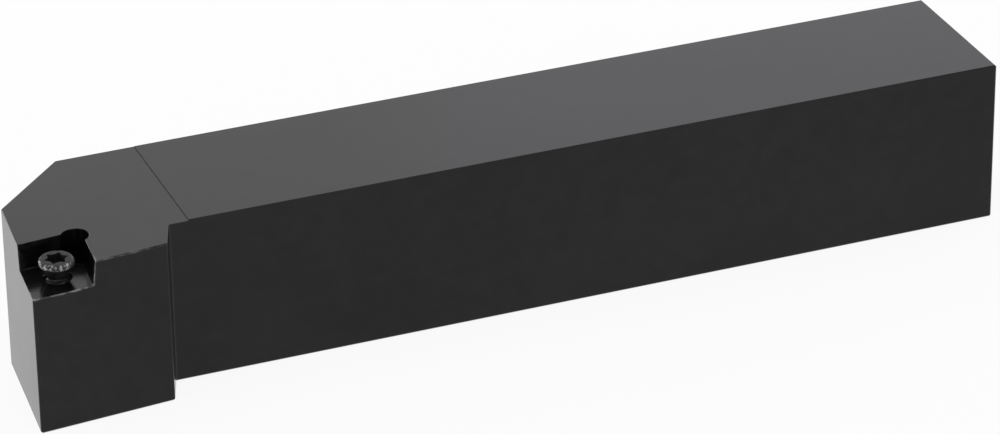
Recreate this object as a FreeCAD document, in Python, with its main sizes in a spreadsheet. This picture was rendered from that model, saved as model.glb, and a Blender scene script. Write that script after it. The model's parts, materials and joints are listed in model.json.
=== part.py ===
import FreeCAD, Part
import math
import os
import Sketcher

# A right-hand turning tool holder. The square shank carries a head that is offset to the cutting
# side, and the head's front corner is milled out as the seat of an 80 degree rhombic insert. A
# cone-headed clamp screw stands in the seat, run in without an insert.
#
# Every body is drawn from the shank's datum corner: +X runs from the rear end to the nose, +Y from
# the back face to the cutting side and +Z up from the base. The placements then put the origin in
# the middle of the shank's base, with the nose towards -X and the cutting side towards -Y.

SIZES = {
    # Shank and head, in millimetres and degrees
    "overall_length": 150.0,
    "shank_height": 25.0,
    "shank_width": 25.0,
    "nose_overhang": 7.0,
    "step_setback": 22.1,
    "step_angle": 20.0,
    "step_corner_radius": 0.3,
    "step_root_radius": 0.5,
    "corner_cut": 11.3,
    "corner_cut_angle": 45.0,
    "head_length": 25.1,
    "head_drop": 0.15,
    "head_runout": 0.03,
    "edge_break": 0.25,
    "corner_margin": 0.1,
    # The insert that the seat is made for
    "insert_circle": 9.525,
    "insert_thickness": 3.97,
    "insert_angle": 80.0,
    "insert_clearance": 7.0,
    "insert_nose_radius": 0.8,
    "lead_angle": 5.0,
    # Seat
    "side_setback": 0.2,
    "end_setback": 0.3,
    "relief_radius": 2.0,
    "relief_reach": 0.3,
    "relief_depth": 1.8,
    # Screw hole
    "screw_bias": 0.15,
    "thread_clearance": 0.05,
    "hole_depth": 10.5,
    "hole_point_angle": 118.0,
    "hole_mouth_depth": 0.3,
    "hole_mouth_angle": 90.0,
    # Clamp screw
    "screw_diameter": 3.5,
    "screw_stand": 0.85,
    "thread_length": 8.7,
    "thread_chamfer": 0.45,
    "head_diameter": 5.0,
    "cone_angle": 60.0,
    "rim_height": 0.85,
    "rim_chamfer": 0.3,
    "socket_across_lobes": 3.3,
    "socket_across_flutes": 2.4,
    "lobe_radius": 0.28,
    "socket_depth": 1.3,
}

# Directions in the plan, from +X. The insert's corner angle lies between the end and the side face,
# and the seat's axis halves it.
SIDE_ANGLE = "(sizes.lead_angle * 1deg)"
END_ANGLE = "(sizes.lead_angle * 1deg + sizes.insert_angle * 1deg)"
STEP_ANGLE = "(90deg - sizes.step_angle * 1deg)"
HALF_CORNER = "(sizes.insert_angle * 1deg / 2)"
SEAT_AXIS = f"(sizes.lead_angle * 1deg + {HALF_CORNER})"

# How far the insert's nose reaches from the back face
NOSE_REACH = "(sizes.shank_width + sizes.nose_overhang)"

# The insert's centre. Its nose arc touches the planes of overall_length and NOSE_REACH.
NOSE_TO_CENTRE = f"(sizes.insert_circle / 2 - sizes.insert_nose_radius) / sin({HALF_CORNER})"
INSERT_X = (
    f"(sizes.overall_length - sizes.insert_nose_radius - {NOSE_TO_CENTRE} * cos({SEAT_AXIS}))"
)
INSERT_Y = f"({NOSE_REACH} - sizes.insert_nose_radius - {NOSE_TO_CENTRE} * sin({SEAT_AXIS}))"

# The insert's top is level with the shank's, and its flanks lean in towards the seat's floor
FLOOR_HEIGHT = "(sizes.shank_height - sizes.insert_thickness)"
FLOOR_CIRCLE = "(sizes.insert_circle / 2 - sizes.insert_thickness * tan(sizes.insert_clearance * 1deg))"


def towards_corner(distance):
    """The point on the seat's axis that lies this far from the insert's centre."""
    return (
        f"({INSERT_X} - {distance} * cos({SEAT_AXIS}))",
        f"({INSERT_Y} - {distance} * sin({SEAT_AXIS}))",
    )


# The screw stands a little nearer the seat's corner than the insert's centre, to draw it in
SCREW_X, SCREW_Y = towards_corner("sizes.screw_bias")
CONE_HEIGHT = "((sizes.head_diameter - sizes.screw_diameter) / 2 / tan(sizes.cone_angle * 1deg / 2))"
SCREW_TOP = f"({CONE_HEIGHT} + sizes.rim_height)"

LOBES = 6
START, END, CENTRE = 1, 2, 3
DATUM_CORNER = (-1, 1)
SAME_PLACE = 1e-4
LEAST_CUT = 1e-2
UP = FreeCAD.Vector(0, 0, 1)

doc = FreeCAD.newDocument("turning_tool_holder")
sheet = doc.addObject("Spreadsheet::Sheet", "sizes")
for row, (alias, size) in enumerate(SIZES.items(), start=1):
    sheet.set(f"A{row}", str(size))
    sheet.setAlias(f"A{row}", alias)
doc.recompute()


def value(expression):
    """What an expression on the sheet comes to, with an angle in radians."""
    result = FreeCAD.Units.Quantity(sheet.evalExpression(expression))
    return math.radians(result.Value) if result.Unit == FreeCAD.Units.Angle else result.Value


def point(x, y):
    return FreeCAD.Vector(x, y, 0)


def new_sketch(body, name, role="XY_Plane", height=None):
    """A sketch on one of the body's own planes, raised by an expression where one is given."""
    sketch = body.newObject("Sketcher::SketchObject", name)
    plane = next(feature for feature in body.Origin.OriginFeatures if feature.Role == role)
    sketch.AttachmentSupport = [(plane, "")]
    sketch.MapMode = "FlatFace"
    if height:
        sketch.setExpression("AttachmentOffset.Base.z", height)
    return sketch


def drive(sketch, *dimensions):
    """Adds dimensions to the sketch, each a kind, what it measures and an expression it follows."""
    constraints = [
        Sketcher.Constraint(kind, *where, value(expression))
        for kind, where, expression in dimensions
    ]
    for index, (_, _, expression) in zip(sketch.addConstraint(constraints), dimensions):
        sketch.setExpression(f"Constraints[{index}]", expression)


def at(geometry, end, x, y):
    """The two dimensions that hold a point of the sketch at x and y."""
    return ("DistanceX", (geometry, end), x), ("DistanceY", (geometry, end), y)


def hold(sketch, *relations):
    """Adds relations that have no size, such as lines that meet or run level."""
    sketch.addConstraint([Sketcher.Constraint(*relation) for relation in relations])


def add_line(sketch, start, end):
    return sketch.addGeometry(Part.LineSegment(start, end))


def add_circle(sketch, x, y, radius, construction=False):
    """A circle whose centre and radius follow the sheet."""
    circle = Part.Circle(point(value(x), value(y)), UP, value(radius))
    index = sketch.addGeometry(circle, construction)
    drive(sketch, ("Radius", (index,), radius), *at(index, CENTRE, x, y))
    return index


def add_outline(sketch, corners):
    """A closed outline of straight lines whose corners follow the sheet."""
    places = [point(value(x), value(y)) for x, y in corners]
    lines = [add_line(sketch, *ends) for ends in zip(places, places[1:] + places[:1])]
    pairs = zip(lines, lines[1:] + lines[:1])
    hold(sketch, *[("Coincident", line, END, following, START) for line, following in pairs])
    for line, (x, y) in zip(lines, corners):
        drive(sketch, *at(line, START, x, y))


def grow(body, kind, name, sketch, **settings):
    """A feature that adds material along or round the sketch."""
    return make_feature(body, kind, name, sketch, settings)


def remove(body, kind, name, sketch, **settings):
    """A feature that cuts material away, and has to cut some."""
    before = body.Shape.Volume
    cut = make_feature(body, kind, name, sketch, settings)
    if body.Shape.Volume > before - LEAST_CUT:
        raise RuntimeError(f"{name} cuts nothing")
    return cut


def make_feature(body, kind, name, sketch, settings):
    """Sizes given as expressions are tied to the sheet, and other settings are set as they are."""
    doc.recompute()
    feature = body.newObject(kind, name)
    feature.Profile = sketch
    for key, setting in settings.items():
        if isinstance(setting, str) and "sizes." in setting:
            feature.setExpression(key, setting)
        else:
            setattr(feature, key, setting)
    doc.recompute()
    return feature


def dress(body, kind, name, edges, key, size):
    """A fillet or chamfer on edges of the body as it stands."""
    base = body.Tip
    feature = body.newObject(kind, name)
    feature.Base = (base, edges)
    feature.setExpression(key, size)
    doc.recompute()
    return feature


def meeting(first, first_angle, second, second_angle):
    """Where a line through one point meets a line through another, each at its angle from +X."""
    along = point(math.cos(first_angle), math.sin(first_angle))
    across = point(-math.sin(second_angle), math.cos(second_angle))
    return first + along * ((second - first).dot(across) / along.dot(across))


def draw_plan(body):
    """The plan of shank and head. The head's end and side faces stay behind the insert's edges."""
    sketch = new_sketch(body, "plan")
    to_side = "sizes.insert_circle / 2 - sizes.side_setback"
    to_end = "sizes.insert_circle / 2 - sizes.end_setback"
    side_angle, end_angle, cut_angle, step_angle = (
        value(angle)
        for angle in (SIDE_ANGLE, END_ANGLE, "sizes.corner_cut_angle * 1deg", STEP_ANGLE)
    )
    insert_centre = point(value(INSERT_X), value(INSERT_Y))
    past_side = point(-math.sin(side_angle), math.cos(side_angle)) * value(to_side)
    past_end = point(math.sin(end_angle), -math.cos(end_angle)) * value(to_end)
    nose = meeting(insert_centre + past_side, side_angle, insert_centre + past_end, end_angle)
    front_corner = meeting(point(0, value("sizes.corner_cut")), 0, nose, end_angle)
    cut_corner = meeting(point(0, 0), 0, front_corner, cut_angle)
    rear_corner = point(0, value("sizes.shank_width"))
    step_root = rear_corner + point(value("sizes.overall_length - sizes.step_setback"), 0)
    step_corner = meeting(step_root, step_angle, nose, side_angle)

    back = add_line(sketch, point(0, 0), cut_corner)
    corner_cut = add_line(sketch, cut_corner, front_corner)
    end_face = add_line(sketch, front_corner, nose)
    side_face = add_line(sketch, step_corner, nose)
    step_face = add_line(sketch, step_root, step_corner)
    shank_side = add_line(sketch, rear_corner, step_root)
    rear = add_line(sketch, point(0, 0), rear_corner)
    insert = add_circle(sketch, INSERT_X, INSERT_Y, "sizes.insert_circle / 2", construction=True)

    hold(
        sketch,
        ("Coincident", back, START, *DATUM_CORNER),
        ("Coincident", rear, START, *DATUM_CORNER),
        ("Coincident", back, END, corner_cut, START),
        ("Coincident", corner_cut, END, end_face, START),
        ("Coincident", end_face, END, side_face, END),
        ("Coincident", side_face, START, step_face, END),
        ("Coincident", step_face, START, shank_side, END),
        ("Coincident", shank_side, START, rear, END),
        ("Horizontal", back),
        ("Horizontal", shank_side),
        ("Vertical", rear),
    )
    drive(
        sketch,
        ("DistanceY", (rear, END), "sizes.shank_width"),
        ("DistanceX", (step_face, START), "sizes.overall_length - sizes.step_setback"),
        ("DistanceY", (end_face, START), "sizes.corner_cut"),
        ("Angle", (corner_cut,), "sizes.corner_cut_angle * 1deg"),
        ("Angle", (end_face,), END_ANGLE),
        ("Angle", (side_face,), SIDE_ANGLE),
        ("Angle", (step_face,), STEP_ANGLE),
        ("Distance", (insert, CENTRE, side_face), to_side),
        ("Distance", (insert, CENTRE, end_face), to_end),
    )
    doc.recompute()
    head_corners = [sketch.getPoint(line, START) for line in (corner_cut, end_face)]
    head_corners.append(sketch.getPoint(end_face, END))
    return sketch, head_corners, sketch.getPoint(step_face, END), sketch.getPoint(step_face, START)


def upright_edge_at(shape, place):
    """The name of the upright edge that stands on a corner of the plan."""
    for number, edge in enumerate(shape.Edges, start=1):
        ends = edge.Vertexes
        if all(math.hypot(end.X - place.x, end.Y - place.y) < SAME_PLACE for end in ends):
            return f"Edge{number}"
    raise RuntimeError(f"no upright edge stands at {place.x:.3f}, {place.y:.3f}")


def edges_to_break(shape):
    """Every level edge of the blank, and the upright ones of its rear end."""
    names = []
    for number, edge in enumerate(shape.Edges, start=1):
        ends = edge.Vertexes
        level = abs(ends[0].Z - ends[-1].Z) < SAME_PLACE
        rear = max(end.X for end in ends) < SAME_PLACE
        if level or rear:
            names.append(f"Edge{number}")
    return names


def mill_head_top(body):
    """The head's top lies a little below the shank's, with a small steep step between them."""
    sketch = new_sketch(body, "head_top_profile", "XZ_Plane")
    runout = "(sizes.overall_length - sizes.head_length)"
    beyond = "(sizes.overall_length + sizes.shank_height)"
    above = "(sizes.shank_height * 2)"
    head_top = "(sizes.shank_height - sizes.head_drop)"
    add_outline(sketch, [
        (runout, "sizes.shank_height"),
        (f"{runout} + sizes.head_runout", head_top),
        (beyond, head_top),
        (beyond, above),
        (runout, above),
    ])
    remove(
        body, "PartDesign::Pocket", "head_top", sketch,
        Type="ThroughAll", SideType="Symmetric",
    )


def mill_seat(body):
    """The seat's floor and its two walls, which lean outwards as the insert's flanks do."""
    sketch = new_sketch(body, "seat_floor", height=FLOOR_HEIGHT)
    corner_x, corner_y = towards_corner(f"{FLOOR_CIRCLE} / sin({HALF_CORNER})")
    x, y, reach = value(corner_x), value(corner_y), 2 * value("sizes.insert_circle")
    corner, outer = point(x, y), point(x + reach, y + reach)
    end_corner, side_corner = point(x + reach, y), point(x, y + reach)

    back_wall = add_line(sketch, corner, end_corner)
    rear_wall = add_line(sketch, corner, side_corner)
    open_end = add_line(sketch, end_corner, outer)
    open_side = add_line(sketch, side_corner, outer)

    hold(
        sketch,
        ("Coincident", back_wall, START, rear_wall, START),
        ("Coincident", back_wall, END, open_end, START),
        ("Coincident", rear_wall, END, open_side, START),
        ("Coincident", open_end, END, open_side, END),
        ("Parallel", back_wall, open_side),
        ("Parallel", rear_wall, open_end),
    )
    drive(
        sketch,
        *at(back_wall, START, corner_x, corner_y),
        ("Angle", (back_wall,), SIDE_ANGLE),
        ("Angle", (rear_wall,), END_ANGLE),
        ("Distance", (back_wall,), "sizes.insert_circle * 2"),
        ("Distance", (rear_wall,), "sizes.insert_circle * 2"),
    )
    seat = remove(
        body, "PartDesign::Pocket", "seat", sketch,
        Type="ThroughAll", Reversed=True,
    )
    lean_walls(body, seat)


def lean_walls(body, seat):
    """Leans the seat's upright walls outwards from its floor, by the insert's clearance angle."""
    floor_height = value(FLOOR_HEIGHT)
    floors = []
    walls = []
    for number, face in enumerate(seat.Shape.Faces, start=1):
        box = face.BoundBox
        if abs(box.ZMin - floor_height) > SAME_PLACE:
            continue
        if box.ZLength < SAME_PLACE:
            floors.append(f"Face{number}")
        else:
            walls.append(f"Face{number}")
    lean = body.newObject("PartDesign::Draft", "leaning_walls")
    lean.Base = (seat, walls)
    lean.NeutralPlane = (seat, floors)
    lean.setExpression("Angle", "sizes.insert_clearance * 1deg")
    doc.recompute()


def drill_relief(body):
    """A round relief in the seat's corner, deeper than its floor, that clears the insert's corner."""
    centre_to_corner = f"sizes.insert_circle / 2 / sin({HALF_CORNER})"
    centre_to_relief = f"({centre_to_corner} - sizes.relief_radius + sizes.relief_reach)"
    sketch = new_sketch(body, "relief_circle", height="sizes.shank_height")
    add_circle(sketch, *towards_corner(centre_to_relief), "sizes.relief_radius")
    remove(
        body, "PartDesign::Pocket", "corner_relief", sketch,
        Type="Length", Length="sizes.insert_thickness + sizes.relief_depth",
    )


def drill_screw_hole(body):
    """The screw's blind hole, as wide as the thread's crest and a running clearance."""
    hole_radius = "(sizes.screw_diameter / 2 + sizes.thread_clearance)"
    mouth_flare = "sizes.hole_mouth_depth * tan(sizes.hole_mouth_angle * 1deg / 2)"
    sketch = new_sketch(body, "screw_centre", height=FLOOR_HEIGHT)
    add_circle(sketch, SCREW_X, SCREW_Y, hole_radius)
    remove(
        body, "PartDesign::Hole", "screw_hole", sketch,
        Diameter=f"2 * {hole_radius}", DepthType="Dimension", Depth="sizes.hole_depth",
        DrillPoint="Angled", DrillPointAngle="sizes.hole_point_angle * 1deg",
        HoleCutType="Countersink", HoleCutCustomValues=True,
        HoleCutDiameter=f"2 * ({hole_radius} + {mouth_flare})",
        HoleCutCountersinkAngle="sizes.hole_mouth_angle * 1deg",
    )


def holder_body():
    """Shank and head, milled from one bar."""
    body = doc.addObject("PartDesign::Body", "holder_body")
    plan, head_corners, step_corner, step_root = draw_plan(body)
    grow(body, "PartDesign::Pad", "blank", plan, Length="sizes.shank_height")
    for name, corners, radius in (
        ("head_corners", head_corners, "sizes.edge_break + sizes.corner_margin"),
        ("step_corner", [step_corner], "sizes.step_corner_radius"),
        ("step_root", [step_root], "sizes.step_root_radius"),
    ):
        edges = [upright_edge_at(body.Shape, corner) for corner in corners]
        dress(body, "PartDesign::Fillet", name, edges, "Radius", radius)
    broken = edges_to_break(body.Shape)
    dress(body, "PartDesign::Chamfer", "broken_edges", broken, "Size", "sizes.edge_break")
    mill_head_top(body)
    mill_seat(body)
    drill_relief(body)
    drill_screw_hole(body)
    return body


def turn_screw(body):
    """The screw's turned form, with its origin where the head's cone meets the thread."""
    sketch = new_sketch(body, "screw_profile", "XZ_Plane")
    thread = "sizes.screw_diameter / 2"
    head = "sizes.head_diameter / 2"
    add_outline(sketch, [
        ("0", "-sizes.thread_length"),
        (f"{thread} - sizes.thread_chamfer", "-sizes.thread_length"),
        (thread, "-sizes.thread_length + sizes.thread_chamfer"),
        (thread, "0"),
        (head, CONE_HEIGHT),
        (head, f"{SCREW_TOP} - sizes.rim_chamfer"),
        (f"{head} - sizes.rim_chamfer", SCREW_TOP),
        ("0", SCREW_TOP),
    ])
    grow(
        body, "PartDesign::Revolution", "turned_form", sketch,
        ReferenceAxis=(sketch, ["V_Axis"]), Angle=360,
    )


def turned(x, y, direction):
    """The point x, y turned about the screw's axis, as expressions."""
    return (
        f"({x}) * cos({direction}) - ({y}) * sin({direction})",
        f"({x}) * sin({direction}) + ({y}) * cos({direction})",
    )


def add_arc(sketch, centre, start, end):
    """An arc from start to end, counter-clockwise about its centre, all three as expressions."""
    centre, start, end = (point(value(x), value(y)) for x, y in (centre, start, end))
    circle = Part.Circle(centre, UP, centre.distanceToPoint(start))
    angles = [math.atan2(place.y - centre.y, place.x - centre.x) for place in (start, end)]
    return sketch.addGeometry(Part.ArcOfCircle(circle, *angles))


def press_socket(body):
    """The key socket: six small outer lobes, joined by six larger flutes that bulge inwards."""
    half_pitch = f"{180 / LOBES}deg"
    lobe_x = "(sizes.socket_across_lobes / 2 - sizes.lobe_radius)"
    edge = "(sizes.socket_across_flutes / 2)"
    flute_radius = (
        f"(({lobe_x}^2 + {edge}^2 - 2 * {lobe_x} * {edge} * cos({half_pitch}) - sizes.lobe_radius^2)"
        f" / (2 * sizes.lobe_radius + 2 * {lobe_x} * cos({half_pitch}) - 2 * {edge}))"
    )
    flute = turned(f"{edge} + {flute_radius}", "0", half_pitch)
    share = f"(sizes.lobe_radius / (sizes.lobe_radius + {flute_radius}))"
    meeting_x = f"({lobe_x} + ({flute[0]} - {lobe_x}) * {share})"
    meeting_y = f"(({flute[1]}) * {share})"

    sketch = new_sketch(body, "socket_outline", height=SCREW_TOP)
    pitches = [f"{360 * number / LOBES}deg" for number in range(LOBES)]
    lobes = []
    flutes = []
    for direction, following in zip(pitches, pitches[1:] + pitches[:1]):
        lobe_start = turned(meeting_x, f"-{meeting_y}", direction)
        lobe_end = turned(meeting_x, meeting_y, direction)
        next_start = turned(meeting_x, f"-{meeting_y}", following)
        lobe_centre, flute_centre = turned(lobe_x, "0", direction), turned(*flute, direction)
        lobes.append(add_arc(sketch, lobe_centre, lobe_start, lobe_end))
        flutes.append(add_arc(sketch, flute_centre, next_start, lobe_end))
        drive(
            sketch,
            *at(lobes[-1], START, *lobe_start),
            *at(lobes[-1], END, *lobe_end),
            ("Radius", (lobes[-1],), "sizes.lobe_radius"),
            ("Radius", (flutes[-1],), flute_radius),
        )
    for lobe, flute, following in zip(lobes, flutes, lobes[1:] + lobes[:1]):
        hold(
            sketch,
            ("Coincident", lobe, END, flute, END),
            ("Coincident", following, START, flute, START),
        )
    remove(
        body, "PartDesign::Pocket", "socket", sketch,
        Type="Length", Length="sizes.socket_depth",
    )


def clamp_screw():
    body = doc.addObject("PartDesign::Body", "clamp_screw")
    turn_screw(body)
    press_socket(body)
    return body


def place(body, x, y, height):
    """Puts a body's origin at a place that is given from the shank's datum corner."""
    body.Placement = FreeCAD.Placement(FreeCAD.Vector(), FreeCAD.Rotation(UP, 180))
    body.setExpression("Placement.Base.x", f"sizes.overall_length / 2 - {x}")
    body.setExpression("Placement.Base.y", f"sizes.shank_width / 2 - {y}")
    body.setExpression("Placement.Base.z", height)


def check(bodies):
    """Stops the build where an object has failed or a sub-part isn't one valid solid."""
    for item in doc.Objects:
        if "Invalid" in item.State or "Error" in item.State:
            raise RuntimeError(f"{item.Name} failed")
    for body in bodies:
        shape = body.Shape
        if shape.isNull() or not shape.isValid() or len(shape.Solids) != 1:
            raise RuntimeError(f"{body.Label} isn't one valid solid")


holder = holder_body()
screw = clamp_screw()
place(holder, "0", "0", "0")
place(screw, SCREW_X, SCREW_Y, f"{FLOOR_HEIGHT} + sizes.screw_stand")
doc.recompute()
check([holder, screw])

os.makedirs("parts", exist_ok=True)
for sub_part in (holder, screw):
    sub_part.Shape.exportStep(f"parts/{sub_part.Label}.step")
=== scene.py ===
import json
import math

import bmesh
import bpy
from mathutils import Matrix, Vector


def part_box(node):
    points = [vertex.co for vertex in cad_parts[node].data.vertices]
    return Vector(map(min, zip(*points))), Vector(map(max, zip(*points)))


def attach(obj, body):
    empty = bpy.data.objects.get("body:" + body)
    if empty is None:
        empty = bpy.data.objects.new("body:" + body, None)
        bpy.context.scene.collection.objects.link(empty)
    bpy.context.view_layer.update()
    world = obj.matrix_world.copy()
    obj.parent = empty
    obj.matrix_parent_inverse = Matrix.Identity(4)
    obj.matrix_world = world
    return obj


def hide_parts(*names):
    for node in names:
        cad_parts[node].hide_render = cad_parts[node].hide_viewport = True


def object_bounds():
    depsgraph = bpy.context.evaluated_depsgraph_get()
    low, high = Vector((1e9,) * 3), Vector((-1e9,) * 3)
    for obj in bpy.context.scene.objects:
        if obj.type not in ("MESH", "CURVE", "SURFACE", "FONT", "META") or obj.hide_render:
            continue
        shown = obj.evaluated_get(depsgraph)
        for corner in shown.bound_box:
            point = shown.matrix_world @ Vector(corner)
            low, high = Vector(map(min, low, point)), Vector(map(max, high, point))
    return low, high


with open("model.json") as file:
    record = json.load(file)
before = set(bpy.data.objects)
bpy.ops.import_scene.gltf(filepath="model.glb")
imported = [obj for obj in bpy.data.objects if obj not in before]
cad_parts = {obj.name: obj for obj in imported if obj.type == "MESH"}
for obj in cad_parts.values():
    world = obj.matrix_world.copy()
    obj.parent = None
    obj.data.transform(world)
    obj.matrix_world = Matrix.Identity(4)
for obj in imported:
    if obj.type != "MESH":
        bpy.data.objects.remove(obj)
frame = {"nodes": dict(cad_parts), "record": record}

bl_info = {
    "name": "Turning Tool Holder",
    "version": (1, 0, 0),
    "blender": (4, 5, 0),
    "location": "View3D > Sidebar > Tool Holder",
    "description": "Dresses a turning tool holder in blackened steel, with its threaded clamp screw",
    "category": "Object",
}

MM = 0.001
CAD_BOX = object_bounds()
SCREW_LOW, SCREW_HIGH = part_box("clamp_screw")
SEAT_FLOOR = Vector(
    next(mount["pos_m"] for mount in frame["record"]["mounts"] if mount["name"] == "insert_seat")
)
SCREW_AXIS = Vector(((SCREW_LOW.x + SCREW_HIGH.x) / 2, (SCREW_LOW.y + SCREW_HIGH.y) / 2, 0))
HEAD_RADIUS = (SCREW_HIGH.x - SCREW_LOW.x) / 2

# A ring of columns runs round the screw, the same number for each lobe of its socket
LOBES = 6
COLUMNS = 16 * LOBES

# Rows in one turn of a thread, spare turns past its ends, and rows that end and close it
THREAD_STEPS = 8
SPARE_TURNS = 2
CLOSING_ROWS = 4

# Half of a thread's flat crest, as a share of its pitch
HALF_FLAT = 1 / 16

# A thread's ends fade at 45 degrees, and under the screw's head a little more gently
END_SLOPE = 1.0
RUN_OUT_SLOPE = 0.7

# Whole turns by which each thread's rows begin below the screw's tip, so that both are in step
SCREW_LEAD = 1.0
HOLE_LEAD = 4.0

# A thread's ridge points away from its axis on a screw, and towards it in a hole
OUTER_THREAD = 1.0
INNER_THREAD = -1.0

# How far the tapped thread's ring stands clear of the hole's wall, inwards and outwards
LINER_GAP = 0.01 * MM

# Points nearer than this become one, and faces turned by less than this angle are one flat face
WELD = 0.001 * MM
FLAT_ANGLE = math.radians(0.2)

# Edges turning by more than this angle are rounded, but not those of so narrow a step
SHARP_ANGLE = math.radians(25)
NARROW_FACE = 0.2 * MM

# A face looks along an axis when its normal's share of that axis is more than this
LOOKS_ALONG = 0.9

# Edges turning by more than these many degrees look sharp
HOLDER_CREASE = 50
THREAD_CREASE = 35

# Patterns of the finish, in cycles a metre. Grinding lines are slow along the shank
GRINDING_SCALE = (30, 4200, 4200)
GRAIN_SCALE = 7000
CHIP_SCALE = 700
PATCH_SCALE = 420
CLOUD_SCALE = 55
TURNING_SCALE = 9000
SCREW_GRAIN_SCALE = 5200
SPECK_SCALE = 2400
SCREW_PATCH_SCALE = 900

# How deep those patterns are cut into the surface
GRINDING_DEPTH = 0.004 * MM
GRAIN_DEPTH = 0.002 * MM
TURNING_DEPTH = 0.0022 * MM
SCREW_GRAIN_DEPTH = 0.0012 * MM

# How much lighter a thin coat is, and how bare the steel gets where it is worn
THIN_OXIDE = 3.4
THIN_SCREW_COAT = 2.4
BARENESS = 0.8

# Rays that look round a point for edges near it
EDGE_SAMPLES = 8

# The floor's reach from its middle, in metres, and its dull finish
FLOOR_REACH = 3.0
FLOOR_ROUGHNESS = 0.9
FLOOR_GLOSS = 0.1

# Width of the camera's sensor, in millimetres
SENSOR_WIDTH = 36

# Each softbox with its place, its size and its colour
SOFTBOXES = {
    "top": ((-0.35, 0.25, 0.90), (0.8, 0.8), (1, 1, 1)),
    "left": ((-0.45, 1.00, 0.18), (1.0, 0.30), (1, 1, 1)),
    "back": ((0.62, 1.00, 0.58), (1.6, 0.7), (1, 1, 1)),
    "right": ((1.00, 0.87, 0.56), (1.4, 0.7), (0.75, 0.7, 1)),
}


def length(name, text, millimetres):
    """A length that a user can set, given in millimetres and kept in metres."""
    return bpy.props.FloatProperty(
        name=name, description=text, default=millimetres * MM, unit="LENGTH", precision=5
    )


def number(name, text, default, low=0.0, high=1000.0):
    """A plain number that a user can set."""
    return bpy.props.FloatProperty(name=name, description=text, default=default, min=low, max=high)


def colour(name, text, red, green, blue):
    """A colour that a user can set."""
    return bpy.props.FloatVectorProperty(
        name=name, description=text, default=(red, green, blue), subtype="COLOR", size=3, min=0, max=1
    )


def angle(name, text, degrees):
    """An angle that a user can set, given in degrees."""
    return bpy.props.FloatProperty(
        name=name, description=text, default=math.radians(degrees), subtype="ANGLE"
    )


class HolderSettings(bpy.types.PropertyGroup):
    edge_round: length("Edge round", "Rounding of edges that no tool broke", 0.07)
    oxide: colour("Oxide", "Colour of the black oxide coat", 0.0017, 0.0017, 0.0018)
    bare_steel: colour("Bare steel", "Colour of steel where the coat has rubbed off", 0.42, 0.42, 0.43)
    gloss: number("Gloss", "Specular level of the coat", 0.26, 0, 1)
    roughness: number("Roughness", "Roughness of the coat", 0.17, 0, 1)
    wear_reach: length("Wear reach", "How far wear reaches from an edge", 0.55)
    handled_reach: length("Handled reach", "How far from the seat the edges are worn most", 18)


class ScrewSettings(bpy.types.PropertyGroup):
    pitch: length("Pitch", "Rise of the thread in one turn", 0.6)
    crest_radius: length("Crest radius", "Outer radius of the screw's thread", 1.75)
    root_radius: length("Root radius", "Inner radius of the screw's thread", 1.42)
    thread_length: length("Thread length", "From the screw's tip to the head's cone", 8.7)
    tip_chamfer: length("Tip chamfer", "Bevel of the screw's tip", 0.45)
    rim_height: length("Rim height", "Height of the head's round side", 0.85)
    rim_chamfer: length("Rim chamfer", "Bevel of the head's rim", 0.3)
    across_lobes: length("Across lobes", "Socket size over its lobes", 3.3)
    across_flutes: length("Across flutes", "Socket size between its flutes", 2.4)
    lobe_radius: length("Lobe radius", "Radius of each lobe", 0.28)
    socket_depth: length("Socket depth", "Depth of the socket's walls", 1.3)
    socket_dish: length("Socket dish", "How far the socket's floor dips to its middle", 0.25)
    edge_round: length("Edge round", "Rounding of the head's edges", 0.05)
    clearance: length("Clearance", "Gap between the screw's thread and the hole's", 0.05)
    tapped_depth: length("Tapped depth", "How deep the hole is tapped", 9.6)
    mouth_depth: length("Mouth depth", "Depth of the hole's countersunk mouth", 0.3)
    wear_reach: length("Wear reach", "How far wear reaches from an edge", 0.15)
    coat: colour("Coat", "Colour of the screw's dark coat", 0.008, 0.008, 0.0084)
    bare_steel: colour("Bare steel", "Colour of steel where the coat has rubbed off", 0.42, 0.42, 0.43)
    gloss: number("Gloss", "Specular level of the coat", 0.12, 0, 1)
    roughness: number("Roughness", "Roughness of the coat", 0.26, 0, 1)


class StageSettings(bpy.types.PropertyGroup):
    floor: colour("Floor", "Colour of the floor", 0.93, 0.93, 0.93)
    floor_glow: number("Floor glow", "How much of the floor is plain white where it is seen", 0.9, 0, 1)
    world_light: number("World light", "Strength of the light from all round", 0.85)
    top_power: number("Top light", "Power of the softbox overhead, in watts", 0.2)
    left_power: number("Left light", "Power of the softbox behind at the left, in watts", 4.6)
    back_power: number("Back light", "Power of the softbox behind, in watts", 1.0)
    right_power: number("Right light", "Power of the softbox at the right, in watts", 0.7)
    lens: number("Lens", "Focal length on a 36 mm sensor, in millimetres", 173.1)
    camera_place: bpy.props.FloatVectorProperty(
        name="Camera place",
        description="Where the camera stands",
        default=(-0.22488, -0.57745, 0.33327),
        subtype="TRANSLATION",
        unit="LENGTH",
        size=3,
        precision=5,
    )
    camera_turn: angle("Camera turn", "Turn to the right of looking along +Y", 21.379)
    camera_tilt: angle("Camera tilt", "Tilt below the horizon", 27.606)
    camera_roll: angle("Camera roll", "Roll of the camera, clockwise", 0.778)


class Signal:
    """One output of a node tree. Arithmetic on it adds Math nodes to the tree."""

    def __init__(self, graph, socket):
        self.graph = graph
        self.socket = socket

    def __add__(self, other):
        return self.graph.maths("ADD", self, other)

    def __radd__(self, other):
        return self.graph.maths("ADD", other, self)

    def __sub__(self, other):
        return self.graph.maths("SUBTRACT", self, other)

    def __rsub__(self, other):
        return self.graph.maths("SUBTRACT", other, self)

    def __mul__(self, other):
        return self.graph.maths("MULTIPLY", self, other)

    def __rmul__(self, other):
        return self.graph.maths("MULTIPLY", other, self)

    def __truediv__(self, other):
        return self.graph.maths("DIVIDE", self, other)


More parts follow.
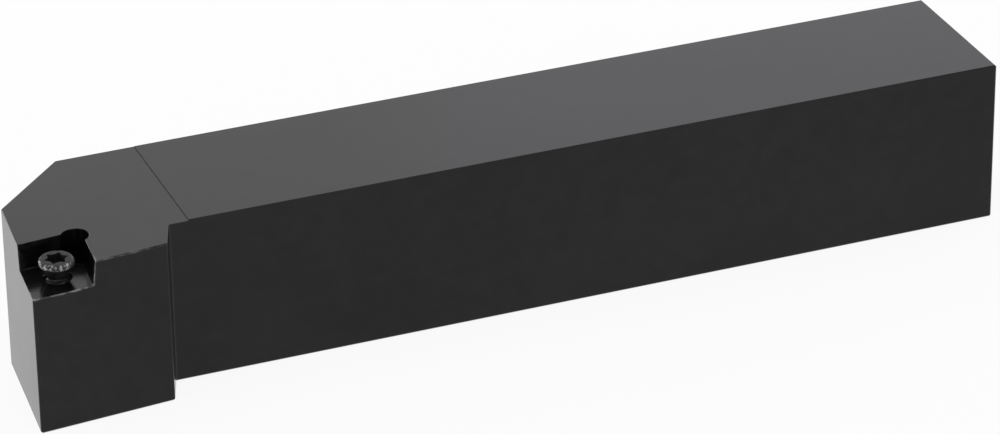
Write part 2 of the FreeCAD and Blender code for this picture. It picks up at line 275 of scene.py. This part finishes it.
class Graph:
    """A node tree that is written as expressions."""

    def __init__(self, tree):
        self.tree = tree

    def add(self, kind, settings=None, inputs=None, output=0):
        """A node with its settings made first, then the values or links of its inputs."""
        node = self.tree.nodes.new(kind)
        for name, setting in (settings or {}).items():
            if name == "stops":
                self.set_stops(node.color_ramp, setting)
            else:
                setattr(node, name, setting)
        for key, value in (inputs or {}).items():
            if isinstance(value, Signal):
                self.tree.links.new(value.socket, node.inputs[key])
            else:
                node.inputs[key].default_value = value
        return Signal(self, node.outputs[output])

    @staticmethod
    def set_stops(ramp, stops):
        for element, (position, level) in zip(ramp.elements, stops):
            element.position = position
            element.color = (level, level, level, 1)

    def maths(self, operation, *values):
        return self.add("ShaderNodeMath", {"operation": operation}, dict(enumerate(values)))

    def vector_maths(self, operation, *values, output=0):
        settings = {"operation": operation}
        return self.add("ShaderNodeVectorMath", settings, dict(enumerate(values)), output)

    def blend(self, factor, low, high):
        """A colour between two, each a colour or a signal."""
        sides = [side if isinstance(side, Signal) else (*side, 1) for side in (low, high)]
        return self.add(
            "ShaderNodeMix", {"data_type": "RGBA"}, {0: factor, 6: sides[0], 7: sides[1]}, output=2
        )

    def noise(self, where, scale, detail=2.0, roughness=0.5):
        """Noise between 0 and 1, with as many cycles a metre as its scale says."""
        return self.add(
            "ShaderNodeTexNoise",
            inputs={"Vector": where, "Scale": scale, "Detail": detail, "Roughness": roughness},
        )

    def ramp(self, value, *stops):
        """A value mapped through two stops, each a position and the level there."""
        return self.add("ShaderNodeValToRGB", {"stops": stops}, {"Fac": value})


def new_material(name):
    """A material with its graph, its principled shader and its object coordinates."""
    material = bpy.data.materials.new(name)
    material.use_nodes = True
    graph = Graph(material.node_tree)
    shader = material.node_tree.nodes["Principled BSDF"]
    place = graph.add("ShaderNodeTexCoord", output="Object")
    return material, graph, shader, place


def feed(graph, shader, **signals):
    """Links signals to the shader's sockets, named with underscores for spaces."""
    for name, signal in signals.items():
        graph.tree.links.new(signal.socket, shader.inputs[name.replace("_", " ")])


def feed_relief(graph, shader, height):
    """Bumps the shader's normal by a height in metres."""
    inputs = {"Strength": 1.0, "Distance": 1.0, "Height": height}
    feed(graph, shader, Normal=graph.add("ShaderNodeBump", inputs=inputs))


def background_rays(graph):
    """1 where the camera, a reflection or a clear surface sees the background, 0 for plain light."""
    camera, glossy, clear = (
        graph.add("ShaderNodeLightPath", output=kind)
        for kind in ("Is Camera Ray", "Is Glossy Ray", "Is Transmission Ray")
    )
    return graph.maths("MAXIMUM", camera, graph.maths("MAXIMUM", glossy, clear))


def edge_mask(graph, reach):
    """From 0 on open faces towards 1 on edges: how far a rounded normal leaves the face's own."""
    rounded = graph.add("ShaderNodeBevel", {"samples": EDGE_SAMPLES}, {"Radius": reach})
    face = graph.add("ShaderNodeNewGeometry", output="True Normal")
    return 1 - graph.vector_maths("DOT_PRODUCT", rounded, face, output="Value")


def blackened_steel(settings, step_place):
    """Ground and milled steel under black oxide, with the coat rubbed thin along its edges.

    The edges wear most near the seat and on the outer side of the head. The small step across
    the top is no edge that wears, so its neighbourhood keeps its coat.
    """
    material, graph, shader, place = new_material("blackened steel")
    shader.inputs["Specular IOR Level"].default_value = settings.gloss
    lines = graph.vector_maths("MULTIPLY", place, GRINDING_SCALE)
    grinding = graph.noise(lines, 1, detail=3, roughness=0.6)
    grain = graph.noise(place, GRAIN_SCALE)
    cloud = graph.noise(place, CLOUD_SCALE, detail=3)
    patches = graph.noise(place, PATCH_SCALE)

    seat_distance = graph.vector_maths("DISTANCE", place, tuple(SEAT_FLOOR), output="Value")
    handled = graph.ramp(seat_distance / (2 * settings.handled_reach), (0.3, 1), (0.7, 0.25))
    chipping = graph.ramp(graph.noise(place, CHIP_SCALE, detail=3), (0.42, 0.2), (0.68, 1.6))
    along, across = (
        graph.add("ShaderNodeSeparateXYZ", inputs={0: place}, output=axis) for axis in "XY"
    )
    off_step = graph.maths("ABSOLUTE", along - step_place) / (3 * settings.wear_reach)
    spared = graph.ramp(off_step, (0.3, 0), (0.5, 1))
    outside = graph.ramp(across / CAD_BOX[0].y, (0.86, 0.15), (0.93, 1))
    wear = edge_mask(graph, settings.wear_reach) * chipping * handled * spared * outside
    rubbed = graph.ramp(wear, (0.015, 0), (0.2, 1))

    thin_coat = tuple(channel * THIN_OXIDE for channel in settings.oxide)
    mottling = graph.ramp(0.4 * cloud + 0.35 * patches + 0.25 * grinding, (0.4, 0), (0.6, 1))
    coat = graph.blend(mottling, settings.oxide, thin_coat)
    unevenness = 0.10 * (cloud - 0.5) + 0.12 * (grinding - 0.5) + 0.08 * (grain - 0.5)
    feed(
        graph,
        shader,
        Base_Color=graph.blend(rubbed * BARENESS, coat, settings.bare_steel),
        Metallic=rubbed * BARENESS,
        Roughness=settings.roughness + unevenness,
    )
    feed_relief(graph, shader, grinding * GRINDING_DEPTH + grain * GRAIN_DEPTH)
    return material


def screw_steel(settings):
    """Turned steel with a thin dark coat: rings round its axis, brighter on its edges."""
    material, graph, shader, place = new_material("screw steel")
    shader.inputs["Specular IOR Level"].default_value = settings.gloss
    local = graph.vector_maths("SUBTRACT", place, tuple(SCREW_AXIS))
    flat = graph.vector_maths("MULTIPLY", local, (1, 1, 0))
    radius = graph.vector_maths("LENGTH", flat, output="Value")
    height = graph.add("ShaderNodeSeparateXYZ", inputs={0: local}, output="Z")
    profile = graph.add("ShaderNodeCombineXYZ", inputs={"X": radius, "Z": height})
    turning = graph.noise(profile, TURNING_SCALE)
    grain = graph.noise(place, SCREW_GRAIN_SCALE)
    patches = graph.noise(place, SCREW_PATCH_SCALE, detail=3)

    edges = edge_mask(graph, settings.wear_reach)
    rubbed = graph.ramp(edges * (0.5 + patches), (0.08, 0), (0.5, 1))
    rim = graph.maths("GREATER_THAN", height, SCREW_HIGH.z - settings.rim_height)
    outer = graph.ramp(radius / HEAD_RADIUS, (0.84, 0), (0.92, 1))
    specks = graph.ramp(graph.noise(place, SPECK_SCALE), (0.44, 0.05), (0.66, 1))
    worn = graph.maths("MAXIMUM", rubbed, rim * outer * specks)

    thin_coat = tuple(channel * THIN_SCREW_COAT for channel in settings.coat)
    coat = graph.blend(graph.ramp(patches, (0.35, 0), (0.7, 1)), settings.coat, thin_coat)
    feed(
        graph,
        shader,
        Base_Color=graph.blend(worn * BARENESS, coat, settings.bare_steel),
        Metallic=worn * BARENESS,
        Roughness=settings.roughness + 0.16 * (turning - 0.5) + 0.10 * (patches - 0.5),
    )
    feed_relief(graph, shader, turning * TURNING_DEPTH + grain * SCREW_GRAIN_DEPTH)
    return material


def new_piece(name, mesh, material, body, replaces=None):
    """An object for a finished mesh in the given material, riding on its body."""
    mesh.materials.clear()
    mesh.materials.append(material)
    piece = bpy.data.objects.new(name, mesh)
    bpy.context.scene.collection.objects.link(piece)
    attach(piece, body)
    if replaces:
        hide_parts(replaces)


def plain_copy(carrier, name):
    """The carrier's mesh as its modifiers leave it. The carrier itself goes."""
    evaluated = carrier.evaluated_get(bpy.context.evaluated_depsgraph_get())
    mesh = bpy.data.meshes.new_from_object(evaluated)
    mesh.name = name
    bpy.data.objects.remove(carrier)
    return mesh


def shade(mesh, sharp_degrees, apart=()):
    """Smooth, with large faces flat, and sharp along steep edges and round the faces apart."""
    mesh.shade_smooth()
    mesh.set_sharp_from_angle(angle=math.radians(sharp_degrees))
    for face in apart:
        for loop in mesh.polygons[face].loop_indices:
            mesh.edges[mesh.loops[loop].edge_index].use_edge_sharp = True
    carrier = bpy.data.objects.new(mesh.name, mesh)
    bpy.context.scene.collection.objects.link(carrier)
    weighting = carrier.modifiers.new("flat faces", "WEIGHTED_NORMAL")
    weighting.weight = 100
    weighting.keep_sharp = True
    return plain_copy(carrier, mesh.name)


def thread_tree():
    """A tree that sweeps a thread's section up its helix, as one surface round an axis.

    Rows climb the thread and columns go round it. A row's radius follows the thread's section
    between root and crest, and near both ends it follows a slope. The first and last rows close
    the ends: to the axis on a screw's tip, or to the wall behind the thread in a hole.
    """
    tree = bpy.data.node_groups.new("thread", "GeometryNodeTree")
    graph = Graph(tree)
    kinds = {
        "NodeSocketFloat": (
            "Pitch", "Root Radius", "Crest Radius", "Datum Height", "First Turn", "Low End",
            "High End", "Low Radius", "Low Slope", "High Radius", "High Slope", "Side",
            "Low Closing", "High Closing", "Last Height",
        ),
        "NodeSocketInt": ("Steps", "Rows", "Columns"),
        "NodeSocketVector": ("Axis",),
        "NodeSocketMaterial": ("Material",),
    }
    for kind, labels in kinds.items():
        for label in labels:
            tree.interface.new_socket(label, in_out="INPUT", socket_type=kind)
    tree.interface.new_socket("Geometry", in_out="OUTPUT", socket_type="NodeSocketGeometry")
    group = tree.nodes.new("NodeGroupInput")
    given = {socket.name: Signal(graph, socket) for socket in group.outputs if socket.name}
    low, high, side = given["Low End"], given["High End"], given["Side"]

    index = graph.add("GeometryNodeInputIndex")
    column = graph.maths("FLOOR", index / given["Rows"])
    row = index - column * given["Rows"]
    turn = column / given["Columns"]
    climb = given["First Turn"] + (row - 1) / given["Steps"]
    free_height = given["Datum Height"] + given["Pitch"] * (climb + turn)
    height = graph.maths("MAXIMUM", low, graph.maths("MINIMUM", high, free_height))

    from_crest = graph.maths("PINGPONG", graph.maths("FRACT", climb) - HALF_FLAT, 0.5)
    share = (from_crest - HALF_FLAT) / (0.5 - 2 * HALF_FLAT)
    fall = graph.maths("MAXIMUM", 0.0, graph.maths("MINIMUM", 1.0, share))
    section = given["Crest Radius"] - (given["Crest Radius"] - given["Root Radius"]) * fall
    low_limit = side * given["Low Radius"] + given["Low Slope"] * (height - low)
    high_limit = side * given["High Radius"] + given["High Slope"] * (high - height)
    limit = graph.maths("MINIMUM", low_limit, high_limit)
    radius = side * graph.maths("MINIMUM", side * section, limit)

    def swap(value, other, where):
        """The value, or the other one where a test gives 1."""
        return value + (other - value) * where

    first = graph.maths("LESS_THAN", row, 0.5)
    closing = graph.maths("GREATER_THAN", row, given["Rows"] - 2.5)
    last = graph.maths("GREATER_THAN", row, given["Rows"] - 1.5)
    radius = swap(swap(radius, given["Low Closing"], first), given["High Closing"], closing)
    height = swap(swap(swap(height, low, first), high, closing), given["Last Height"], last)

    bearing = turn * math.tau
    spoke = graph.add("ShaderNodeCombineXYZ", inputs={
        "X": radius * graph.maths("COSINE", bearing),
        "Y": radius * graph.maths("SINE", bearing),
        "Z": height,
    })
    grid = graph.add(
        "GeometryNodeMeshGrid",
        inputs={"Vertices X": given["Columns"] + 1, "Vertices Y": given["Rows"]},
    )
    placed = graph.add("GeometryNodeSetPosition", inputs={
        "Geometry": grid, "Position": graph.vector_maths("ADD", spoke, given["Axis"]),
    })
    welded = graph.add(
        "GeometryNodeMergeByDistance", inputs={"Geometry": placed, "Distance": WELD}
    )
    real = graph.add("GeometryNodeRealizeInstances", inputs={"Geometry": welded})
    finished = graph.add(
        "GeometryNodeSetMaterial", inputs={"Geometry": real, "Material": given["Material"]}
    )
    result = tree.nodes.new("NodeGroupOutput")
    tree.links.new(finished.socket, result.inputs["Geometry"])
    return tree


def thread_mesh(settings, name, material, **sizes):
    """A thread's surface as a plain mesh, from a tree whose inputs are set by name."""
    tree = thread_tree()
    turns = (sizes["High_End"] - sizes["Low_End"]) / settings.pitch
    sizes["Rows"] = THREAD_STEPS * (math.ceil(turns) + SPARE_TURNS) + CLOSING_ROWS
    sizes.update(
        Pitch=settings.pitch, Datum_Height=SCREW_LOW.z, Steps=THREAD_STEPS, Columns=COLUMNS,
        Axis=SCREW_AXIS, Material=material,
    )
    carrier = bpy.data.objects.new(name, bpy.data.meshes.new(name))
    bpy.context.scene.collection.objects.link(carrier)
    modifier = carrier.modifiers.new("thread", "NODES")
    modifier.node_group = tree
    for socket in tree.interface.items_tree:
        if socket.in_out == "INPUT":
            modifier[socket.identifier] = sizes[socket.name.replace(" ", "_")]
    return plain_copy(carrier, name)


def socket_radius(settings, bearing):
    """Radius of the six-lobe socket in a direction: a lobe's arc, or the flute beside it."""
    half_pitch = math.pi / LOBES
    lobe_place = settings.across_lobes / 2 - settings.lobe_radius
    edge = settings.across_flutes / 2
    flute_radius = (
        lobe_place**2 + edge**2 - 2 * lobe_place * edge * math.cos(half_pitch)
        - settings.lobe_radius**2
    ) / (2 * (settings.lobe_radius + lobe_place * math.cos(half_pitch) - edge))
    flute_place = edge + flute_radius
    share = settings.lobe_radius / (settings.lobe_radius + flute_radius)
    meeting_x = lobe_place + share * (flute_place * math.cos(half_pitch) - lobe_place)
    meeting_y = share * flute_place * math.sin(half_pitch)

    off_lobe = abs((bearing + half_pitch) % (2 * half_pitch) - half_pitch)
    if off_lobe < math.atan2(meeting_y, meeting_x):
        across = lobe_place * math.sin(off_lobe)
        return lobe_place * math.cos(off_lobe) + math.sqrt(settings.lobe_radius**2 - across**2)
    off_flute = half_pitch - off_lobe
    across = flute_place * math.sin(off_flute)
    return flute_place * math.cos(off_flute) - math.sqrt(flute_radius**2 - across**2)


def head_cone(settings):
    """The head's cone: how fast its radius grows with height, and where it meets the root."""
    cone_base = SCREW_LOW.z + settings.thread_length
    rim_base = SCREW_HIGH.z - settings.rim_height
    slope = (HEAD_RADIUS - settings.crest_radius) / (rim_base - cone_base)
    neck_top = cone_base - (settings.crest_radius - settings.root_radius) / slope
    return slope, neck_top


def head_rings(settings):
    """Rings of the screw's head: height, radius and how much of the radius is the socket's."""
    slope, neck_top = head_cone(settings)
    top = SCREW_HIGH.z
    rim_base = top - settings.rim_height
    bevel = settings.rim_chamfer
    turn_in = settings.edge_round
    floor = top - settings.socket_depth
    return [
        (neck_top, settings.root_radius, 0),
        (rim_base - turn_in, HEAD_RADIUS - slope * turn_in, 0),
        (rim_base + turn_in, HEAD_RADIUS, 0),
        (top - bevel - turn_in, HEAD_RADIUS, 0),
        (top - bevel + turn_in / 2, HEAD_RADIUS - turn_in, 0),
        (top - turn_in / 2, HEAD_RADIUS - bevel + turn_in, 0),
        (top, HEAD_RADIUS - bevel - turn_in, 0),
        (top, HEAD_RADIUS - 2 * bevel, 0),
        (top, settings.edge_round, 1),
        (top - turn_in, 0, 1),
        (floor + turn_in, 0, 1),
        (floor, -turn_in, 1),
        (floor - settings.socket_dish, 0, 0),
    ]


def make_head(body, settings):
    """Adds the head's rings to a mesh, from the neck over the rim and down into the socket."""
    rows = []
    for height, radius, share in head_rings(settings):
        row = []
        for column in range(COLUMNS):
            bearing = math.tau * column / COLUMNS
            reach = radius + share * socket_radius(settings, bearing)
            spoke = Vector((math.cos(bearing), math.sin(bearing), 0)) * reach
            row.append(body.verts.new(SCREW_AXIS + spoke + Vector((0, 0, height))))
        rows.append(row)
    for lower, upper in zip(rows, rows[1:]):
        for column in range(COLUMNS):
            beside = (column + 1) % COLUMNS
            body.faces.new((lower[column], lower[beside], upper[beside], upper[column]))


def finished_mesh(name, build):
    """A mesh from a function that fills it, with its doubles merged and its faces outwards."""
    body = bmesh.new()
    build(body)
    bmesh.ops.remove_doubles(body, verts=body.verts, dist=WELD)
    bmesh.ops.dissolve_degenerate(body, edges=body.edges, dist=WELD)
    bmesh.ops.recalc_face_normals(body, faces=body.faces)
    mesh = bpy.data.meshes.new(name)
    body.to_mesh(mesh)
    body.free()
    return mesh


class StageBuilder(bpy.types.Operator):
    """Sets up the floor, the lights, the world and the camera"""

    bl_idname = "tool_holder.set_stage"
    bl_label = "Set the Stage"

    def execute(self, context):
        settings = context.scene.holder_stage
        self.set_colours(context.scene)
        self.lay_floor(settings)
        self.light_world(context.scene, settings)
        for side, (place, size, tint) in SOFTBOXES.items():
            self.hang_softbox(f"{side} softbox", place, size, tint, getattr(settings, f"{side}_power"))
        self.place_camera(context.scene, settings)
        return {"FINISHED"}

    @staticmethod
    def set_colours(scene):
        scene.view_settings.view_transform = "Standard"

    @staticmethod
    def lay_floor(settings):
        body = bmesh.new()
        bmesh.ops.create_grid(body, x_segments=1, y_segments=1, size=FLOOR_REACH)
        mesh = bpy.data.meshes.new("floor")
        body.to_mesh(mesh)
        body.free()
        material, graph, shader, _ = new_material("pale floor")
        shader.inputs["Base Color"].default_value = (*settings.floor, 1)
        shader.inputs["Roughness"].default_value = FLOOR_ROUGHNESS
        shader.inputs["Specular IOR Level"].default_value = FLOOR_GLOSS
        glow = graph.add("ShaderNodeEmission", inputs={"Color": (1, 1, 1, 1), "Strength": 1.0})
        surface = graph.add("ShaderNodeMixShader", inputs={
            0: background_rays(graph) * settings.floor_glow,
            1: Signal(graph, shader.outputs["BSDF"]),
            2: glow,
        })
        result = graph.tree.nodes["Material Output"]
        graph.tree.links.new(surface.socket, result.inputs["Surface"])
        mesh.materials.append(material)
        floor = bpy.data.objects.new("floor", mesh)
        floor.location.z = CAD_BOX[0].z
        bpy.context.scene.collection.objects.link(floor)

    @staticmethod
    def light_world(scene, settings):
        """Soft light from all round, white where the camera or a reflection sees it."""
        world = bpy.data.worlds.new("studio")
        world.use_nodes = True
        graph = Graph(world.node_tree)
        background = world.node_tree.nodes["Background"]
        background.inputs["Color"].default_value = (1, 1, 1, 1)
        strength = settings.world_light + (1 - settings.world_light) * background_rays(graph)
        graph.tree.links.new(strength.socket, background.inputs["Strength"])
        scene.world = world

    @staticmethod
    def hang_softbox(name, place, size, tint, power):
        lamp = bpy.data.lights.new(name, "AREA")
        lamp.shape = "RECTANGLE"
        lamp.size, lamp.size_y = size
        lamp.color = tint
        lamp.energy = power
        softbox = bpy.data.objects.new(name, lamp)
        softbox.location = place
        aim = Vector(place) - Vector((0, 0, CAD_BOX[1].z))
        softbox.rotation_euler = aim.to_track_quat("Z", "Y").to_euler()
        bpy.context.scene.collection.objects.link(softbox)

    @staticmethod
    def place_camera(scene, settings):
        lens = bpy.data.cameras.new("camera")
        lens.sensor_width = SENSOR_WIDTH
        lens.lens = settings.lens
        camera = bpy.data.objects.new("camera", lens)
        turn = Matrix.Rotation(-settings.camera_turn, 4, "Z")
        tilt = Matrix.Rotation(math.pi / 2 - settings.camera_tilt, 4, "X")
        roll = Matrix.Rotation(-settings.camera_roll, 4, "Z")
        camera.matrix_world = Matrix.Translation(settings.camera_place) @ turn @ tilt @ roll
        scene.collection.objects.link(camera)
        scene.camera = camera


def small_step_edges(body):
    """Edges of the narrow faces that rise from an inside corner: the small step across the top."""
    inside = [
        edge for edge in body.edges
        if edge.is_manifold and edge.calc_face_angle_signed() < -SHARP_ANGLE
    ]
    return {
        side for edge in inside for face in edge.link_faces
        if face.calc_area() < NARROW_FACE * edge.calc_length() for side in face.edges
    }


def small_step_faces(mesh, step_place):
    """Indices of the faces that stand at the small step and look towards the nose."""
    return [
        face.index for face in mesh.polygons
        if abs(face.center.x - step_place) < NARROW_FACE and face.normal.x < -LOOKS_ALONG
    ]


class HolderBuilder(bpy.types.Operator):
    """Dresses shank and head in blackened steel, with their sharp edges slightly rounded"""

    bl_idname = "tool_holder.dress_body"
    bl_label = "Dress Shank and Head"

    def execute(self, context):
        settings = context.scene.holder_body
        source = frame["nodes"]["holder_body"].data
        step_places = []

        def build(body):
            body.from_mesh(source)
            bmesh.ops.remove_doubles(body, verts=body.verts, dist=WELD)
            bmesh.ops.dissolve_limit(
                body, angle_limit=FLAT_ANGLE, verts=body.verts, edges=body.edges, delimit=set()
            )
            kept = small_step_edges(body)
            step_places.extend(vertex.co.x for edge in kept for vertex in edge.verts)
            sharp = [
                edge for edge in body.edges
                if edge.is_manifold and edge.calc_face_angle() > SHARP_ANGLE and edge not in kept
            ]
            bmesh.ops.bevel(
                body, geom=sharp, offset=settings.edge_round, offset_type="OFFSET", segments=2,
                profile=0.5, affect="EDGES", clamp_overlap=True, harden_normals=False,
            )

        mesh = finished_mesh("shank_and_head", build)
        step_place = sum(step_places) / len(step_places)
        mesh = shade(mesh, HOLDER_CREASE, small_step_faces(mesh, step_place))
        new_piece(
            "shank_and_head", mesh, blackened_steel(settings, step_place), "holder",
            replaces="holder_body",
        )
        return {"FINISHED"}


class ScrewBuilder(bpy.types.Operator):
    """Makes the clamp screw: its rolled thread, its cone and its six-lobe socket"""

    bl_idname = "tool_holder.make_screw"
    bl_label = "Make the Clamp Screw"

    def execute(self, context):
        settings = context.scene.holder_screw
        material = screw_steel(settings)
        _, neck_top = head_cone(settings)
        thread = thread_mesh(
            settings, "thread", material,
            Root_Radius=settings.root_radius, Crest_Radius=settings.crest_radius,
            First_Turn=-SCREW_LEAD, Low_End=SCREW_LOW.z, High_End=neck_top,
            Low_Radius=settings.crest_radius - settings.tip_chamfer, Low_Slope=END_SLOPE,
            High_Radius=settings.root_radius, High_Slope=RUN_OUT_SLOPE, Side=OUTER_THREAD,
            Low_Closing=0.0, High_Closing=settings.root_radius, Last_Height=neck_top,
        )

        def build(body):
            body.from_mesh(thread)
            make_head(body, settings)

        mesh = shade(finished_mesh("threaded_screw", build), THREAD_CREASE)
        bpy.data.meshes.remove(thread)
        new_piece(
            "threaded_screw", mesh, material, "screw", replaces="clamp_screw"
        )
        return {"FINISHED"}


class TappedHoleBuilder(bpy.types.Operator):
    """Taps the screw's hole with a thread that the screw's own runs in"""

    bl_idname = "tool_holder.tap_hole"
    bl_label = "Tap the Hole"

    def execute(self, context):
        screw = context.scene.holder_screw
        material = bpy.data.objects["shank_and_head"].active_material
        root = screw.root_radius + screw.clearance
        wall = screw.crest_radius + screw.clearance
        crest, back = wall - LINER_GAP, wall + LINER_GAP
        mouth = SEAT_FLOOR.z - screw.mouth_depth
        low = SEAT_FLOOR.z - screw.tapped_depth
        thread = thread_mesh(
            screw, "thread", material,
            Root_Radius=root, Crest_Radius=crest, First_Turn=-HOLE_LEAD,
            Low_End=low, High_End=mouth,
            Low_Radius=crest, Low_Slope=END_SLOPE,
            High_Radius=crest, High_Slope=END_SLOPE, Side=INNER_THREAD,
            Low_Closing=back, High_Closing=back, Last_Height=low,
        )

        def build(body):
            body.from_mesh(thread)

        mesh = shade(finished_mesh("tapped_thread", build), THREAD_CREASE)
        bpy.data.meshes.remove(thread)
        new_piece("tapped_thread", mesh, material, "holder")
        return {"FINISHED"}


class HolderPanel(bpy.types.Panel):
    """Lists the pieces of the tool holder and their settings"""

    bl_idname = "VIEW3D_PT_tool_holder"
    bl_label = "Turning Tool Holder"
    bl_space_type = "VIEW_3D"
    bl_region_type = "UI"
    bl_category = "Tool Holder"

    def draw(self, context):
        for builder, group in BUILDERS:
            box = self.layout.box()
            box.operator(builder.bl_idname)
            settings = getattr(context.scene, group)
            for name in settings.bl_rna.properties.keys():
                if name not in ("rna_type", "name"):
                    box.prop(settings, name)


SETTINGS = {
    "holder_stage": StageSettings,
    "holder_body": HolderSettings,
    "holder_screw": ScrewSettings,
}
BUILDERS = (
    (StageBuilder, "holder_stage"),
    (HolderBuilder, "holder_body"),
    (ScrewBuilder, "holder_screw"),
    (TappedHoleBuilder, "holder_screw"),
)
CLASSES = (*SETTINGS.values(), *(builder for builder, _ in BUILDERS), HolderPanel)


def register():
    for each in CLASSES:
        bpy.utils.register_class(each)
    for name, group in SETTINGS.items():
        setattr(bpy.types.Scene, name, bpy.props.PointerProperty(type=group))


def unregister():
    for name in SETTINGS:
        delattr(bpy.types.Scene, name)
    for each in reversed(CLASSES):
        bpy.utils.unregister_class(each)


def main():
    register()
    bpy.ops.tool_holder.set_stage()
    bpy.ops.tool_holder.dress_body()
    bpy.ops.tool_holder.make_screw()
    bpy.ops.tool_holder.tap_hole()


if __name__ == "__main__":
    main()
